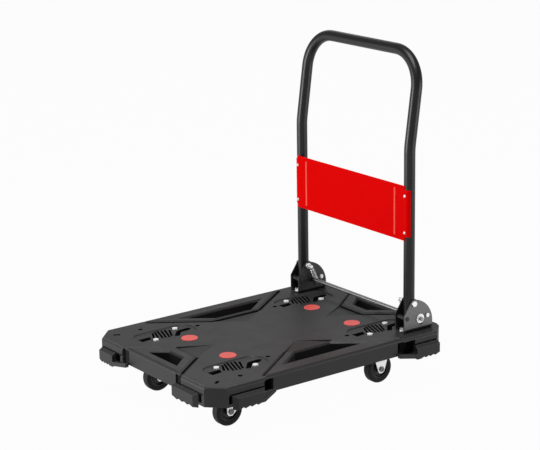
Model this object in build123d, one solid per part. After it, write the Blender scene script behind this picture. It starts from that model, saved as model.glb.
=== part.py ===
from build123d import *
import math
import os

# Folding platform trolley, in millimetres. +X points to the handle end, +Z up, and the floor is z = 0.

# Overall sizes
DECK_LENGTH = 720.0
DECK_WIDTH = 524.0
CASTER_HEIGHT = 100.0  # floor to the seat under the deck
SEAT_DEPTH = 43.0  # deck top to that seat
HANDLE_RISE = 694.0  # deck top to the middle of the handle's top bar

# Deck moulding
PLATE = 6.0
WALL = 4.0
RAIL_DEPTH = 39.5
CORNER_DEPTH = 50.0
CORNER_CHAMFER = 39.5
CORNER_BEVEL = 3.0  # along the chamfer's top edge
BLOCK_LENGTH = 148.0  # corner block along X
BLOCK_WIDTH = 134.0  # corner block along Y
SHOULDER_RADIUS = 10.0
BLOCK_GROOVE_DEPTH = 19.0
BLOCK_GROOVE_HEIGHT = 5.0
BLOCK_GROOVE_INTO = 2.5
SIDE_STUB = 66.0  # closing walls of a corner block beside the rails
END_STUB = 42.0
NOTCH_WIDTH = 22.0
NOTCH_DEPTH = 40.0
NOTCH_LIP = 8.0  # deck top to the roof of a side notch
NOTCH_CHAMFER = 5.0  # on the block's end
END_NOTCH_WIDTH = 27.0
END_NOTCH_DEPTH = 8.0
END_NOTCH_LIP = 3.0
SIDE_SETBACK = 0.5  # rails stand back from the corner blocks
END_SETBACK = 3.5
RAIL_EDGE_RADIUS = 8.0
FRAME_RISE = 2.5  # hand-hold frames above the field
FRAME_BEVEL = 6.0
INSET_SIDE_DEPTH = 112.0  # deck side to the inner edge of its frame
INSET_END_DEPTH = 105.0
INSET_SIDE_MOUTH = 128.3  # deck end to where the X line meets the side
INSET_END_MOUTH = 133.5  # deck side to where the X line meets the end
APEX_SIDE_DEPTH = 164.3  # deck side to the apex of the X lines
APEX_END_DEPTH = 167.0
FACET_END_TIP = 189.5  # deck end to the tip of its facet
FACET_DROP = 3.0
GROOVE_WIDTH = 5.0
GROOVE_DEPTH = 6.0
GROOVE_BACKING = 4.0
GROOVE_SLOPE_WIDTH = 3.5  # slope from the field down to a groove
GROOVE_SLOPE_DEPTH = 3.0
SIDE_SLOT_OUTER = 44.0  # deck side to the outer edge of the hand slot
SIDE_SLOT_INNER = 95.0
SIDE_SLOT_LENGTH = 244.0  # along its outer edge
SIDE_SLOT_SLOPE = 68.0  # how much shorter the inner edge is at each end
END_SLOT_OUTER = 32.0
END_SLOT_INNER = 72.0
END_SLOT_LENGTH = 124.0
END_SLOT_SLOPE = 34.0
COLLAR_DEPTH = 34.0
SLOT_CORNER_RADIUS = 3.0
SLOT_BEVEL = 5.0
SLOT_BEVEL_DEPTH = 5.0
RIB_DEPTH = 30.0
RIB_PITCH = 60.0
PAD_LENGTH = 300.0
PAD_WIDTH = 150.0
PAD_RISE = 0.1

# Ribbed recess and caster seat in each corner, the recess as distances from the caster's middle
CASTER_FROM_END = 142.0
CASTER_FROM_SIDE = 111.0
BOLT_HALF_X = 42.0
BOLT_HALF_Y = 21.0
BOSS_LENGTH = 116.0
BOSS_WIDTH = 76.0
TRAY_LENGTH = 170.0
TRAY_WIDTH = 76.0
TRAY_CORNER = 30.0
TRAY_RIM = 4.0  # width of the slope round the tray
TRAY_DROP = 3.0
POCKET_LOW = ((-78.0, 6.5), (-77.0, -14.5), (-48.0, -11.5), (-42.0, 7.0))
POCKET_HIGH = (
    (36.5, 5.0), (65.5, 8.5), (75.0, 6.0), (76.5, -2.0),
    (63.0, -9.5), (39.5, -11.0), (21.0, -32.0), (9.5, -26.5),
)
POCKET_REACH = (78.0, 15.0)
POCKET_DEPTH = 16.0
GAP_TOPS = (27.7, 32.7, 34.7, 32.7, 30.7, 23.7)
GAP_BOTTOMS = (-7.0, -13.3, -20.3, -22.3, -25.3, -21.3)
GAP_TOP_START = -20.5
GAP_TOP_PITCH = 9.4
GAP_BOTTOM_START = -38.5
GAP_BOTTOM_PITCH = 8.7
GAP_WIDTH = 6.0
GAP_DEPTH = 15.0
COUNTERBORE_RADIUS = 9.5
COUNTERBORE_DEPTH = 7.5
DISC_RADIUS = 21.0
DISC_THICKNESS = 3.0
DISC_PROUD = 1.2
DISC_ROUND = 0.9
DISC_FROM_END = 168.0
DISC_FROM_SIDE = 180.0
DRAIN_RADIUS = 6.2
DRAIN_SMALL = 5.0
DRAIN_INNER = (238.0, 113.0)  # from the deck end and side
DRAIN_FRONT = ((109.0, 47.0, DRAIN_RADIUS), (44.5, 47.5, DRAIN_SMALL), (37.0, 42.5, DRAIN_SMALL))

# Corner bumpers
BUMPER_OUT = 9.0
BUMPER_TOP = 24.0
BUMPER_BOTTOM = 58.0
BUMPER_BEVEL = 6.0
TOOTH_COUNT = 4
TOOTH_HEIGHT = 5.0
BUMPER_CHAMFER = 12.0  # slanted end beside the pocket
STRUT_SETBACK = 11.5  # block's end to the bumper's, where a slanted strut crosses the notch
STRUT_RUN = (-5.0, 27.0)  # from the block's end, at the strut's foot and head
STRUT_TOP = 40.0
STRUT_HEIGHT = 6.0
STRUT_OUT = 4.0
WEB_TOP = 33.0  # thin web above the strut
WEB_OUT = 1.5
LEDGE_HEIGHT = 10.0  # slanted ledge under a pocket and the notch beside it
LEDGE_RISE = 15.0
# Pocket beside each face's bumper: run from the face's low end, top and bottom below the deck top, and depth
CLIP_RUNS = {"right": (10.0, 23.0), "left": (10.0, 35.0), "front": (2.5, 13.0), "rear": (0.0, 35.0)}
CLIP_TOPS = {"right": BUMPER_TOP, "left": BUMPER_TOP, "front": BUMPER_TOP, "rear": NOTCH_LIP}
CLIP_BOTTOM = 44.0
CLIP_DEPTH = 20.0

# Wheels and casters
WHEEL_DIAMETER = 75.0
WHEEL_WIDTH = 23.0
TYRE_BORE = 52.0
TYRE_SHOULDER = 5.0
HUB_WIDTH = 20.0
HUB_RECESS_DEPTH = 5.0
HUB_RECESS_OUTER = 22.5
HUB_BOSS_RADIUS = 10.5
HUB_SIDE_GAP = 1.0
HUB_DOTS = 16
DOT_RADIUS = 2.0
DOT_CIRCLE = 19.3
DOT_DEPTH = 3.0
FORK_SHEET = 2.5
FORK_SIDE_GAP = 2.0
AXLE_EYE_RADIUS = 11.0
FORK_TOP = 30.0  # half widths of a rigid fork's cheek: at the plate, at its waist and under the axle
FORK_WAIST = 26.0
FORK_WAIST_DROP = 14.0
FORK_TIP = 0.97 * AXLE_EYE_RADIUS
FORK_TIP_DROP = 3.0
AXLE_RADIUS = 4.0
AXLE_HEAD = 3.0
SLEEVE_RADIUS = 6.0
TRAIL = 28.0
CASTER_PLATE_LENGTH = 104.0
CASTER_PLATE_WIDTH = 64.0
CASTER_PLATE = 2.7
PLATE_CORNER = 8.0
BEARING_OUTER = 27.0
BEARING_INNER = 17.0
BEARING_HEIGHT = 6.7
BEARING_ROUND = 2.7
CROWN_RADIUS = 30.0
SWIVEL_REACH = 0.72 * CROWN_RADIUS  # king pin to the edges of a swivel fork's cheek under the crown
SWIVEL_REAR_DROP = 26.0
SWIVEL_FRONT_DROP = 12.0
SWIVEL_TOE = 0.8 * AXLE_EYE_RADIUS
SWIVEL_TOE_DROP = 7.0
KING_PIN_RADIUS = 5.0
KING_HEAD_RADIUS = 9.0
KING_HEAD = 3.0
SCREW_HEAD_RADIUS = 7.0
SCREW_HEAD = 3.5
SCREW_RADIUS = 3.0
SCREW_LENGTH = 22.0

# Handle
TUBE_RADIUS = 14.0
TUBE_WALL = 1.5
PLUG_LENGTH = 18.0
POST_FROM_END = 93.0
POST_FROM_SIDE = 48.0
BEND_RISE = 464.0
TOP_SETBACK = 32.6
BEND_RADIUS = 170.0
TOP_CORNER_RADIUS = 88.0
PANEL_LOW = 233.5
PANEL_HIGH = 372.5
PANEL_SHEET = 1.2
PANEL_WRAP = 62.0  # degrees that each end wraps round its post
WRAP_TRIM = 10.0  # how much lower than the panel the wrapped tab is, at each end
PANEL_RIB_INBOARD = 37.0
PANEL_RIB_WIDTH = 6.0
PANEL_RIB_PROUD = 1.6
PANEL_RIB_ROUND = 1.4
RIVET_RISES = (254.0, 347.0)
RIVET_RADIUS = 4.2
RIVET_PROUD = 1.6
RIVET_ROUND = 1.3
RIVET_SHANK = 2.0
RIVET_TAIL = 2.0  # shank beyond the tube's wall

# Brackets, pivot and lock bar, as distances from the post's line along X and heights above the deck top
CHEEK = 3.0
POST_PLAY = 1.0  # post to the cheek on each side of it
BEND_OUTER = 8.0
CHEEK_FRONT = -30.0
CHEEK_FRONT_RISE = 45.0
CHEEK_SHOULDER = (-5.0, 81.0)
CHEEK_TOP = (1.0, 82.5)
CHEEK_ARC = (42.0, 64.0)
CHEEK_BACK = 62.0
CHEEK_BACK_RISE = 20.0
PIVOT_RISE = 73.0
PIVOT_RADIUS = 4.0
PIVOT_TAIL = 12.0  # bolt end beyond its nut, where the spring hooks on
BUSH_RADIUS = 6.0
BAR_RADIUS = 5.0
BAR_OFFSET = 20.5
BAR_RISE = 31.0
BAR_TRAVEL = 12.0
BAR_SLOPE = 16.4  # degrees that the slot leans back from vertical
BAR_TAIL = 6.0
BAR_CHAMFER = 1.0
LOCK_WASHER_RADIUS = 12.0
LOCK_WASHER = 2.0
LOCK_CLIP_RADIUS = 8.0
LOCK_CLIP = 1.2
STOP_SLEEVE_RADIUS = 6.1
STOP_RISE = 37.0
STOP_RADIUS = 4.0
STOP_HEAD = 1.5
STOP_HEAD_RADIUS = 5.5
SPACER_OFFSET = 43.7
SPACER_RISE = 35.5
SPACER_RADIUS = 3.0
SPACER_TUBE_RADIUS = 6.0
BASE_BOLT_OFFSETS = (-20.0, 50.0)

# Springs
SPRING_WIRE = 1.4
SPRING_RADIUS = 4.4  # middle of the wire
SPRING_TURNS = 9
SPRING_LEAD = 2.1  # straight wire at each end
SPRING_LEAD_TURN = 5.0  # length along the axis in which the wire leaves the axis for the coil
SPRING_GAP_MIN = 0.4
SPRING_SAMPLES = 40  # points per turn when the gap is measured

# Metric fasteners: shank radius, width across flats, head height, nut height
M8 = (4.0, 13.0, 5.3, 6.5)
M6 = (3.0, 10.0, 4.0, 5.0)
WASHER_RADIUS = 8.5
WASHER = 1.6
BOLT_TAIL = 1.5  # bolt end beyond its nut

# Fits
RUNNING = 0.1  # radial, shaft in its bore
CLEAR = 0.3  # between faces that pass each other
HOLE = 0.2  # radial, bolt in its hole
BAR_PLAY = 0.4  # lock bar in its slot, and under the post's swing

half_l = DECK_LENGTH / 2
half_w = DECK_WIDTH / 2
top = CASTER_HEIGHT + SEAT_DEPTH
block_x = half_l - BLOCK_LENGTH
block_y = half_w - BLOCK_WIDTH
caster_x = half_l - CASTER_FROM_END
caster_y = half_w - CASTER_FROM_SIDE
post_x = half_l - POST_FROM_END
post_y = half_w - POST_FROM_SIDE
side_face = half_w - SIDE_SETBACK
end_face = half_l - END_SETBACK
axle_z = WHEEL_DIAMETER / 2
cheek_gap = 2 * (TUBE_RADIUS + POST_PLAY)
stop_x = -(TUBE_RADIUS + CLEAR + STOP_SLEEVE_RADIUS)  # from the post's line
fork_inner = WHEEL_WIDTH / 2 + FORK_SIDE_GAP
fork_outer = fork_inner + FORK_SHEET
CORNERS = {"front_left": (-1, 1), "front_right": (-1, -1), "rear_left": (1, 1), "rear_right": (1, -1)}
SIDES = {"left": 1, "right": -1}

nodes = {}


def span(pair):
    return min(pair), max(pair)


def box(x, y, z):
    """Box between two values of each coordinate."""
    (x0, x1), (y0, y1), (z0, z1) = span(x), span(y), span(z)
    return Pos((x0 + x1) / 2, (y0 + y1) / 2, (z0 + z1) / 2) * Box(x1 - x0, y1 - y0, z1 - z0)


def rod_z(radius, x, y, z):
    low, high = span(z)
    return Pos(x, y, (low + high) / 2) * Cylinder(radius, high - low)


def rod_y(radius, x, z, y):
    low, high = span(y)
    return Pos(x, (low + high) / 2, z) * Rot(90, 0, 0) * Cylinder(radius, high - low)


def hexagon(flats):
    return RegularPolygon(flats / 2, 6, major_radius=False)


def hex_z(flats, x, y, z):
    low, high = span(z)
    return Pos(x, y, low) * extrude(hexagon(flats), high - low)


def hex_y(flats, x, z, y):
    low, high = span(y)
    return Pos(x, high, z) * Rot(90, 0, 0) * extrude(hexagon(flats), high - low)


def prism(points, z):
    """Upright prism on a plan outline."""
    low, high = span(z)
    face = make_face(Polyline(*[(x, y, low) for x, y in points], close=True))
    return extrude(face, high - low, dir=(0, 0, 1))


def prism_y(points, y):
    """Prism along Y on an outline of x and z."""
    low, high = span(y)
    face = make_face(Polyline(*[(x, low, z) for x, z in points], close=True))
    return extrude(face, high - low, dir=(0, 1, 0))


def to_corner(shape, sx, sy):
    """Mirrors a shape made in the +X +Y quarter into another quarter."""
    if sx < 0:
        shape = mirror(shape, about=Plane.YZ)
    if sy < 0:
        shape = mirror(shape, about=Plane.XZ)
    return shape


def group(shapes):
    return Compound([s for shape in shapes for s in shape.solids()])


def grown(points, amount):
    """Plan outline moved outwards by an amount, corners kept sharp."""
    face = make_face(Polyline(*points, close=True))
    return offset(face, amount, kind=Kind.INTERSECTION)


def side_inset():
    """Trapezium of the +Y side's frame, between its two X lines, run on past the deck's edge."""
    apex = half_w - APEX_SIDE_DEPTH
    inner = half_w - INSET_SIDE_DEPTH
    slope = (half_l - INSET_SIDE_MOUTH) / (half_w - apex)
    outer = half_w + 2 * SHOULDER_RADIUS
    half, mouth = slope * (inner - apex), slope * (outer - apex)
    return [(-half, inner), (half, inner), (mouth, outer), (-mouth, outer)]


def end_inset():
    """Trapezium of the +X end's frame, between its two X lines, run on past the deck's edge."""
    apex = half_l - APEX_END_DEPTH
    inner = half_l - INSET_END_DEPTH
    slope = (half_w - INSET_END_MOUTH) / (half_l - apex)
    outer = half_l + 2 * SHOULDER_RADIUS
    half, mouth = slope * (inner - apex), slope * (outer - apex)
    return [(inner, half), (inner, -half), (outer, -mouth), (outer, mouth)]


def side_slot():
    outer = SIDE_SLOT_LENGTH / 2
    inner = outer - SIDE_SLOT_SLOPE
    return [
        (-inner, half_w - SIDE_SLOT_INNER),
        (inner, half_w - SIDE_SLOT_INNER),
        (outer, half_w - SIDE_SLOT_OUTER),
        (-outer, half_w - SIDE_SLOT_OUTER),
    ]


def end_slot():
    outer = END_SLOT_LENGTH / 2
    inner = outer - END_SLOT_SLOPE
    return [
        (half_l - END_SLOT_INNER, inner),
        (half_l - END_SLOT_INNER, -inner),
        (half_l - END_SLOT_OUTER, -outer),
        (half_l - END_SLOT_OUTER, outer),
    ]


def corner_block():
    """Hollow corner block of the +X +Y quarter, with a rounded shoulder and a parting groove."""
    outline = [
        (block_x, block_y),
        (half_l, block_y),
        (half_l, half_w - CORNER_CHAMFER),
        (half_l - CORNER_CHAMFER, half_w),
        (block_x, half_w),
    ]
    block = prism(outline, (top - CORNER_DEPTH, top))
    upper = block.edges().group_by(Axis.Z)[-1]
    shoulder = [upper.sort_by(Axis.X)[-1], upper.sort_by(Axis.Y)[-1]]
    block = fillet(shoulder, SHOULDER_RADIUS)
    slant = WALL * math.tan(math.radians(22.5))
    cavity = [
        (block_x - WALL, block_y - WALL),
        (half_l - WALL, block_y - WALL),
        (half_l - WALL, half_w - CORNER_CHAMFER - slant),
        (half_l - CORNER_CHAMFER - slant, half_w - WALL),
        (block_x - WALL, half_w - WALL),
    ]
    block -= prism(cavity, (top - CORNER_DEPTH - WALL, top - PLATE))
    stub = (top - CORNER_DEPTH, top - PLATE / 2)
    block += box((block_x, block_x + WALL), (half_w - SIDE_STUB, half_w - WALL / 2), stub)
    block += box((half_l - END_STUB, half_l - WALL / 2), (block_y, block_y + WALL), stub)
    groove = (top - BLOCK_GROOVE_DEPTH - BLOCK_GROOVE_HEIGHT, top - BLOCK_GROOVE_DEPTH)
    groove_x = (half_l - BLOCK_GROOVE_INTO, half_l + WALL)
    groove_y = (half_w - BLOCK_GROOVE_INTO, half_w + WALL)
    block -= box(groove_x, (block_y - WALL, half_w - CORNER_CHAMFER - WALL), groove)
    block -= box((block_x - WALL, half_l - CORNER_CHAMFER - WALL), groove_y, groove)
    return block


def corner_bevel():
    """Wedge that bevels the top edge of the +X +Y corner's chamfer."""
    reach = (half_l + half_w - CORNER_CHAMFER) / math.sqrt(2)
    outline = [
        (reach - CORNER_BEVEL - WALL, top + WALL),
        (reach + WALL, top - CORNER_BEVEL - WALL),
        (reach + WALL, top + WALL),
    ]
    return Rot(0, 0, 45) * prism_y(outline, (-half_l, half_l))


def bumper_spans():
    """Runs of the blocks' faces between notch and chamfer: along Y on the -X end, along X on the -Y side."""
    end_edge = half_w - CORNER_CHAMFER
    side_edge = half_l - CORNER_CHAMFER
    ends = {"right": (-end_edge, -block_y), "left": (block_y, end_edge)}
    sides = {"front": (-side_edge, -block_x), "rear": (block_x, side_edge)}
    return ends, sides


def clip_pockets(cut):
    """The pocket beside each bumper, or the boss round it; the other two faces mirror these."""
    ends, sides = bumper_spans()
    grow = 0 if cut else WALL
    into = (-WALL, CLIP_DEPTH) if cut else (WALL / 2, CLIP_DEPTH + WALL)
    shapes = []
    for name, (low, _) in list(ends.items()) + list(sides.items()):
        run = (low + CLIP_RUNS[name][0] - grow, low + CLIP_RUNS[name][1] + grow)
        z = (top - CLIP_BOTTOM - grow, top - CLIP_TOPS[name] + grow)
        if name in ends:
            shape = box((into[0] - half_l, into[1] - half_l), run, z)
            shapes += [shape, mirror(shape, about=Plane.YZ)]
        else:
            shape = box(run, (into[0] - half_w, into[1] - half_w), z)
            shapes += [shape, mirror(shape, about=Plane.XZ)]
    return shapes


def notch_wall():
    """Back walls of the two notches beside the +X +Y corner block, and the floor of the deeper one."""
    low = top - RAIL_DEPTH
    z = (low, top - PLATE / 2)
    side_run = (block_x - NOTCH_WIDTH - WALL, block_x + WALL)
    wall = box(side_run, (half_w - NOTCH_DEPTH - WALL, half_w - NOTCH_DEPTH), z)
    wall += box(side_run, (half_w - NOTCH_DEPTH - WALL, half_w - 2 * NOTCH_CHAMFER), (low, low + WALL))
    end_run = (block_y - END_NOTCH_WIDTH - WALL, block_y + WALL)
    return wall + box((half_l - END_NOTCH_DEPTH - WALL, half_l - END_NOTCH_DEPTH), end_run, z)


def side_rail():
    """Hollow grip bar along the +Y side, outside the hand slot."""
    half = block_x - NOTCH_WIDTH
    low, high = half_w - SIDE_SLOT_OUTER, side_face
    rail = box((-half, half), (low, high), (top - RAIL_DEPTH, top))
    inside = (top - RAIL_DEPTH - WALL, top - PLATE)
    return rail - box((-half + WALL, half - WALL), (low + WALL, high - WALL), inside)


def end_rail():
    """End wall and bar along the +X end, outside the end opening."""
    half = block_y - END_NOTCH_WIDTH
    low, high = half_l - END_SLOT_OUTER, end_face
    rail = box((low, high), (-half, half), (top - RAIL_DEPTH, top))
    inside = (top - RAIL_DEPTH - WALL, top - PLATE)
    return rail - box((low + WALL, high - WALL), (-half + WALL, half - WALL), inside)


def frame_top(points):
    """Raised face of a hand-hold frame, bevelled up from the groove."""
    low = Pos(0, 0, top) * grown(points, -GROOVE_WIDTH)
    high = Pos(0, 0, top + FRAME_RISE) * grown(points, -GROOVE_WIDTH - FRAME_BEVEL)
    return loft([low, high], ruled=True)


def edge_round(half, face):
    """Cutter that rounds the outer top edge of a rail along X, at +Y."""
    middle_y, middle_z = face - RAIL_EDGE_RADIUS, top + FRAME_RISE - RAIL_EDGE_RADIUS
    cutter = box((-half, half), (middle_y, face + WALL), (middle_z, top + FRAME_RISE + WALL))
    rod = Pos(0, middle_y, middle_z) * Rot(0, 90, 0) * Cylinder(RAIL_EDGE_RADIUS, 2 * half)
    return cutter - rod


def collar(points):
    """Wall round a hand slot under the plate."""
    return extrude(Pos(0, 0, top - COLLAR_DEPTH) * grown(points, WALL + SLOT_BEVEL / 2), COLLAR_DEPTH)


def slot_cut(points):
    """Hand slot with a bevelled rim."""
    cut = prism(points, (top - RAIL_DEPTH - WALL, top + WALL))
    cut = fillet(cut.edges().filter_by(Axis.Z), SLOT_CORNER_RADIUS)
    low = Pos(0, 0, top + FRAME_RISE - SLOT_BEVEL_DEPTH) * grown(points, 0.01)
    high = Pos(0, 0, top + FRAME_RISE) * grown(points, SLOT_BEVEL)
    return cut + loft([low, high], ruled=True)


def groove_band(points, grow_out, grow_in, z):
    """Band along a frame's outline."""
    low, high = span(z)
    outer = Pos(0, 0, low) * grown(points, grow_out)
    inner = Pos(0, 0, low) * grown(points, -grow_in)
    return extrude(outer, high - low) - extrude(inner, high - low)


def groove_slope(points):
    """Wedge along a frame's outline that leaves a slope from the field down to the groove."""
    low_z, high_z = top - 2 * GROOVE_SLOPE_DEPTH, top + GROOVE_SLOPE_DEPTH
    low = Pos(0, 0, low_z) * grown(points, -GROOVE_SLOPE_WIDTH)
    high = Pos(0, 0, high_z) * grown(points, 2 * GROOVE_SLOPE_WIDTH)
    return loft([low, high], ruled=True) - prism(points, (low_z, high_z))


def facet(triangle, apex, along):
    """Shallow wedge that falls from its apex to the frame's inner edge."""
    inner = triangle[0][along]
    tip = apex[along]
    run = inner - tip
    lean = math.degrees(math.atan2(FACET_DROP, run))
    blank = prism([triangle[0], triangle[1], apex], (top - 2 * FACET_DROP, top + WALL))
    size = 2 * max(DECK_LENGTH, DECK_WIDTH)
    floor_block = Pos(0, 0, -size / 2) * Box(size, size, size)
    turn = Rot(-lean, 0, 0) if along else Rot(0, lean, 0)
    return blank - Pos(apex[0], apex[1], top) * turn * floor_block


def recess_cuts(x, y):
    """Sunk tray, two pockets and slanted gaps of one ribbed recess, the same way round in every corner."""
    rim = RectangleRounded(TRAY_LENGTH, TRAY_WIDTH, TRAY_CORNER)
    floor = RectangleRounded(TRAY_LENGTH - 2 * TRAY_RIM, TRAY_WIDTH - 2 * TRAY_RIM, TRAY_CORNER - TRAY_RIM)
    cuts = loft([Pos(0, 0, -TRAY_DROP) * floor, rim], ruled=True)
    for outline in (POCKET_LOW, POCKET_HIGH):
        cuts += prism(outline, (-POCKET_DEPTH, 0))
    for i, (high_y, low_y) in enumerate(zip(GAP_TOPS, GAP_BOTTOMS)):
        high_x = GAP_TOP_START + i * GAP_TOP_PITCH
        low_x = GAP_BOTTOM_START + i * GAP_BOTTOM_PITCH
        run, rise = high_x - low_x, high_y - low_y
        gap = Rot(0, 0, math.degrees(math.atan2(rise, run))) * SlotOverall(math.hypot(run, rise), GAP_WIDTH)
        cuts += Pos((high_x + low_x) / 2, (high_y + low_y) / 2, -GAP_DEPTH) * extrude(gap, GAP_DEPTH)
    return Pos(x, y, top) * cuts


def bolt_places(sx, sy):
    """The two through bolts of a corner's caster, on one diagonal of its plate."""
    yield sx * (caster_x + BOLT_HALF_X), sy * (caster_y - BOLT_HALF_Y)
    yield sx * (caster_x - BOLT_HALF_X), sy * (caster_y + BOLT_HALF_Y)


def screw_places(sx, sy):
    yield sx * (caster_x + BOLT_HALF_X), sy * (caster_y + BOLT_HALF_Y)
    yield sx * (caster_x - BOLT_HALF_X), sy * (caster_y - BOLT_HALF_Y)


def disc_places():
    for sx, sy in CORNERS.values():
        yield sx * (half_l - DISC_FROM_END), sy * (half_w - DISC_FROM_SIDE)


def ribs():
    """Stiffening grid under the field, between the slots and the caster seats."""
    z = (top - RIB_DEPTH, top - PLATE / 2)
    x_end = half_l - INSET_END_DEPTH
    y_end = half_w - INSET_SIDE_DEPTH
    grid = box((-x_end, x_end), (-WALL / 2, WALL / 2), z)
    grid += box((-WALL / 2, WALL / 2), (-y_end, y_end), z)
    for i in range(1, int(x_end // RIB_PITCH) + 1):
        for sign in (-1, 1):
            x = sign * i * RIB_PITCH
            grid += box((x - WALL / 2, x + WALL / 2), (-y_end, y_end), z)
    for i in range(1, int(y_end // RIB_PITCH) + 1):
        for sign in (-1, 1):
            y = sign * i * RIB_PITCH
            grid += box((-x_end, x_end), (y - WALL / 2, y + WALL / 2), z)
    return grid


def deck():
    outline = [
        (end_face, half_w - CORNER_CHAMFER - END_SETBACK),
        (half_l - CORNER_CHAMFER - SIDE_SETBACK, side_face),
    ]
    outline += [(-x, y) for x, y in reversed(outline)]
    outline += [(x, -y) for x, y in reversed(outline)]
    body = prism(outline, (top - PLATE, top))
    side_points = side_inset()
    end_points = end_inset()
    backing = (top - GROOVE_DEPTH - GROOVE_BACKING, top)
    z_clip = (0, top + FRAME_RISE)
    side_clip = box((-block_x, block_x), (-side_face, side_face), z_clip)
    end_clip = box((-end_face, end_face), (-block_y, block_y), z_clip)
    side_body = side_rail() + collar(side_slot()) + frame_top(side_points)
    side_body += groove_band(side_points, WALL, GROOVE_WIDTH + WALL, backing)
    end_body = end_rail() + collar(end_slot()) + frame_top(end_points)
    end_body += groove_band(end_points, WALL, GROOVE_WIDTH + WALL, backing)
    side_body &= side_clip
    end_body &= end_clip
    body += [side_body, mirror(side_body, about=Plane.XZ)]
    body += [end_body, mirror(end_body, about=Plane.YZ)]
    boss = box(
        (caster_x - BOSS_LENGTH / 2, caster_x + BOSS_LENGTH / 2),
        (caster_y - BOSS_WIDTH / 2, caster_y + BOSS_WIDTH / 2),
        (CASTER_HEIGHT, top - PLATE / 2),
    )
    pocket_boss = box(
        (caster_x - POCKET_REACH[0] - WALL, caster_x + POCKET_REACH[0] + WALL),
        (caster_y - POCKET_REACH[1] - WALL, caster_y + POCKET_REACH[1] + WALL),
        (top - POCKET_DEPTH - WALL, top - PLATE / 2),
    )
    block = corner_block()
    for sx, sy in CORNERS.values():
        body += [to_corner(block, sx, sy), to_corner(boss, sx, sy), to_corner(pocket_boss, sx, sy)]
    body += clip_pockets(False)
    body += ribs()
    pad_x = (-PAD_LENGTH / 2, PAD_LENGTH / 2)
    pad_y = (-PAD_WIDTH / 2, PAD_WIDTH / 2)
    body += box(pad_x, pad_y, (top - PLATE / 2, top + PAD_RISE))

    over = (top - GROOVE_DEPTH, top + FRAME_RISE + WALL)
    through = (CASTER_HEIGHT - WALL, top + FRAME_RISE + WALL)
    side_cut = slot_cut(side_slot()) + facet(side_points, (0, half_w - APEX_SIDE_DEPTH), 1)
    side_groove = groove_band(side_points, 0, GROOVE_WIDTH, over) + groove_slope(side_points)
    side_cut += side_groove & box((-block_x, block_x), (0, DECK_WIDTH), through)
    side_cut += edge_round(block_x, side_face)
    notch_z = (CASTER_HEIGHT - 2 * WALL, top - NOTCH_LIP)
    for sign in (-1, 1):
        notch_x = (sign * (block_x - NOTCH_WIDTH), sign * block_x)
        side_cut += box(notch_x, (half_w - NOTCH_DEPTH, half_w + WALL), notch_z)
        corner = [(block_x, half_w - NOTCH_CHAMFER), (block_x + NOTCH_CHAMFER, half_w), (block_x, half_w)]
        side_cut += prism([(sign * x, y) for x, y in corner], notch_z)
    end_cut = slot_cut(end_slot()) + facet(end_points, (half_l - FACET_END_TIP, 0), 0)
    end_groove = groove_band(end_points, 0, GROOVE_WIDTH, over) + groove_slope(end_points)
    end_cut += end_groove & box((0, DECK_LENGTH), (-block_y, block_y), through)
    end_cut += Rot(0, 0, -90) * edge_round(block_y, end_face)
    end_notch_z = (CASTER_HEIGHT - 2 * WALL, top - END_NOTCH_LIP)
    for sign in (-1, 1):
        notch_y = (sign * (block_y - END_NOTCH_WIDTH), sign * block_y)
        end_cut += box((half_l - END_NOTCH_DEPTH, half_l + WALL), notch_y, end_notch_z)
    body -= [side_cut, mirror(side_cut, about=Plane.XZ)]
    body -= [end_cut, mirror(end_cut, about=Plane.YZ)]
    wall = notch_wall()
    body += [to_corner(wall, sx, sy) for sx, sy in CORNERS.values()]
    body -= clip_pockets(True)

    through_plate = (top - PLATE - WALL, top + WALL)
    for sx, sy in CORNERS.values():
        body -= [recess_cuts(sx * caster_x, sy * caster_y), to_corner(corner_bevel(), sx, sy)]
        for x, y in bolt_places(sx, sy):
            body -= rod_z(COUNTERBORE_RADIUS, x, y, (top - COUNTERBORE_DEPTH, top + WALL))
            body -= rod_z(M8[0] + HOLE, x, y, (CASTER_HEIGHT - WALL, top))
        for x, y in screw_places(sx, sy):
            body -= rod_z(SCREW_RADIUS + HOLE, x, y, (CASTER_HEIGHT - WALL, CASTER_HEIGHT + SCREW_LENGTH))
        x, y = sx * (half_l - DRAIN_INNER[0]), sy * (half_w - DRAIN_INNER[1])
        body -= rod_z(DRAIN_RADIUS, x, y, through_plate)
    for from_end, from_side, radius in DRAIN_FRONT:
        for sy in SIDES.values():
            body -= rod_z(radius, from_end - half_l, sy * (half_w - from_side), through_plate)
    for x, y in disc_places():
        body -= rod_z(DISC_RADIUS + HOLE, x, y, (top - DISC_THICKNESS + DISC_PROUD, top + WALL))
    for sy in SIDES.values():
        for dx in BASE_BOLT_OFFSETS:
            body -= rod_z(M8[0] + HOLE, post_x + dx, sy * post_y, through_plate)
    return body


def plate_x(points, thick):
    """Plate on an outline of y and z, standing out from x = 0 to -X."""
    face = make_face(Polyline(*[(-thick, y, z) for y, z in points], close=True))
    return extrude(face, thick, dir=(1, 0, 0))


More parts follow.
